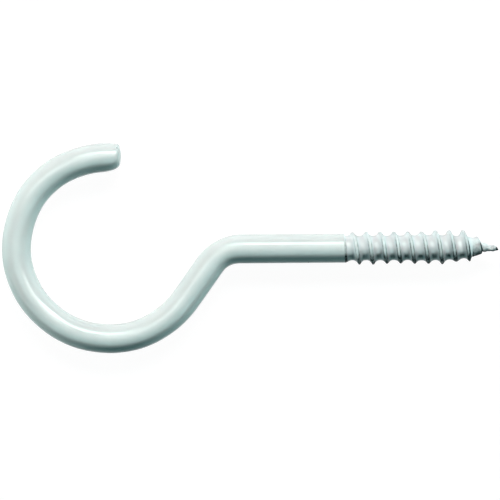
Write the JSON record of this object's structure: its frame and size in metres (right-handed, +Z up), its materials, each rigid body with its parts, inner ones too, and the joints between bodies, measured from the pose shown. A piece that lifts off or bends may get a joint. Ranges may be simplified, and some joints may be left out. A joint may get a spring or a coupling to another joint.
{
  "type": "screw hook",
  "caption": "Screw hook in white painted wire: an open round ring to hang things on, and a wood-screw thread to drive it in.",
  "frame": {"origin": "on the screw's axis, at the shoulder where the plain shank meets the thread", "axes": "+X along the screw towards its point, +Y towards the ring's open mouth, +Z up as the hook lies flat"},
  "size_m": [0.0997, 0.0422, 0.0066],
  "materials": {
    "white_paint": "glossy white enamel on steel wire, thin on the thread's crests and on the point"
  },
  "bodies": {
    "root": {"screw_hook": "white_paint"}
  },
  "joints": []
}
